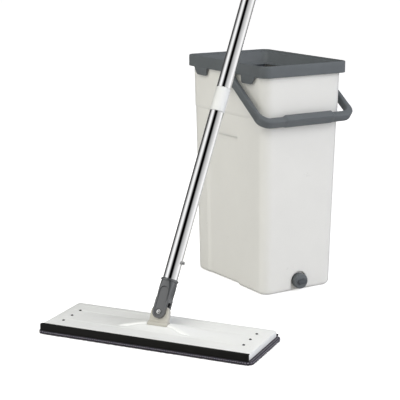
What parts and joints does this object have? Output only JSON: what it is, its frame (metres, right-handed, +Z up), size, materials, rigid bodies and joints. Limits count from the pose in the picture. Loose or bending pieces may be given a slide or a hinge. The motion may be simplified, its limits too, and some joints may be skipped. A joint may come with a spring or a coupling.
{
  "type": "mop and bucket with wringer",
  "caption": "Flat mop with a folding head and tubular pole beside a tall two-chamber bucket, whose lid squeezes the pad wet or dry as it slides through.",
  "frame": {"origin": "centre of the bucket's flat base, on the surface it stands on", "axes": "+Z up; -Y out of the bucket's front wall, which holds the drain plug; +X to the right seen from the front"},
  "size_m": [0.6287, 0.4589, 1.0789],
  "materials": {
    "cream_plastic": "smooth satin moulding",
    "divider_plastic": "smooth satin moulding",
    "slate_plastic": "satin moulding",
    "knuckle_plastic": "semi-gloss moulding",
    "dark_plastic": "satin moulding",
    "white_plastic": "semi-gloss moulding",
    "warm_grey_plastic": "satin moulding",
    "black_rubber": "matte",
    "silicone": "soft matte",
    "microfibre": "short looped pile",
    "hook_tape": "stiff hooks",
    "steel": "bright",
    "chrome_tube": "polished"
  },
  "bodies": {
    "bucket": {"bucket_shell": "cream_plastic", "divider_panel": "divider_plastic", "drain_seat": "dark_plastic", "bail_pin_left": "slate_plastic", "bail_pin_right": "slate_plastic"},
    "lid": {"lid_frame": "slate_plastic", "wash_comb": "dark_plastic", "dry_blade_holder": "dark_plastic", "dry_lip": "silicone", "wash_axle_left": "steel", "wash_axle_right": "steel", "dry_axle_left": "steel", "dry_axle_right": "steel", "wash_screw_left": "steel", "wash_screw_right": "steel", "dry_screw_left": "steel", "dry_screw_right": "steel"},
    "wash_roller_left_body": {"wash_roller_left": "white_plastic"},
    "wash_roller_right_body": {"wash_roller_right": "white_plastic"},
    "dry_roller_left_body": {"dry_roller_left": "white_plastic"},
    "dry_roller_right_body": {"dry_roller_right": "white_plastic"},
    "bail": {"bail_handle": "slate_plastic"},
    "drain_washer": {"drain_gasket": "black_rubber"},
    "drain_cap": {"drain_plug": "slate_plastic"},
    "mop_head": {"mop_plate": "white_plastic", "front_edge_strip": "black_rubber", "rear_edge_strip": "black_rubber", "front_hook_strip": "hook_tape", "rear_hook_strip": "hook_tape", "mop_pad": "microfibre", "tilt_pin": "steel"},
    "saddle": {"saddle_block": "warm_grey_plastic"},
    "pole": {"knuckle": "knuckle_plastic", "fold_bolt": "steel", "fold_nut": "steel", "lower_tube": "chrome_tube", "lower_coupler": "white_plastic", "middle_tube": "chrome_tube", "upper_coupler": "white_plastic", "upper_tube": "chrome_tube", "hand_grip": "slate_plastic", "hanging_cap": "slate_plastic"},
    "button": {"snap_button": "steel", "button_spring": "steel"}
  },
  "joints": [
    {"name": "lid_lift", "type": "slide", "parent": "bucket", "child": "lid", "axis": [0, 0, -1], "range_m": [-0.09, 0]},
    {"name": "bail_swing", "type": "hinge", "parent": "bucket", "child": "bail", "pos_m": [0, -0.018, 0.343], "axis": [-1, 0, 0], "range_deg": [0, 186]},
    {"name": "wash_roller_left_spin", "type": "hinge", "parent": "lid", "child": "wash_roller_left_body", "pos_m": [-0.04425, -0.03, 0.333], "axis": [1, 0, 0], "continuous": true},
    {"name": "wash_roller_right_spin", "type": "hinge", "parent": "lid", "child": "wash_roller_right_body", "pos_m": [0.04425, -0.03, 0.333], "axis": [1, 0, 0], "continuous": true},
    {"name": "dry_roller_left_spin", "type": "hinge", "parent": "lid", "child": "dry_roller_left_body", "pos_m": [-0.04425, 0.03, 0.333], "axis": [1, 0, 0], "continuous": true},
    {"name": "dry_roller_right_spin", "type": "hinge", "parent": "lid", "child": "dry_roller_right_body", "pos_m": [0.04425, 0.03, 0.333], "axis": [1, 0, 0], "continuous": true},
    {"name": "drain_slide", "type": "slide", "parent": "bucket", "child": "drain_washer", "axis": [0, -1, 0], "range_m": [0, 0.012]},
    {"name": "drain_turn", "type": "hinge", "parent": "drain_washer", "child": "drain_cap", "pos_m": [0, -0.0994, 0.017], "axis": [0, -1, 0], "range_deg": [0, 1080]},
    {"name": "mop_lift", "type": "slide", "parent": "bucket", "child": "mop_head", "axis": [0, 0, 1], "range_m": [0, 0.6]},
    {"name": "saddle_tilt", "type": "hinge", "parent": "mop_head", "child": "saddle", "pos_m": [-0.3073, -0.1754, 0.017], "axis": [-0.558, 0.8298, 0], "range_deg": [-58.3, 6.7]},
    {"name": "pole_fold", "type": "hinge", "parent": "saddle", "child": "pole", "pos_m": [-0.30056, -0.17087, 0.03418], "axis": [0.7502, 0.5045, -0.4274], "range_deg": [-95.9, 84.1]},
    {"name": "button_press", "type": "slide", "parent": "pole", "child": "button", "axis": [-0.5186, 0.8499, 0.0929], "range_m": [0, 0.0045], "stiffness_N_per_m": 400, "springref_m": -0.002}
  ],
  "couplings": [
    {"joint": "drain_slide", "follows": "drain_turn", "m_per_rad": 0.0006366}
  ]
}
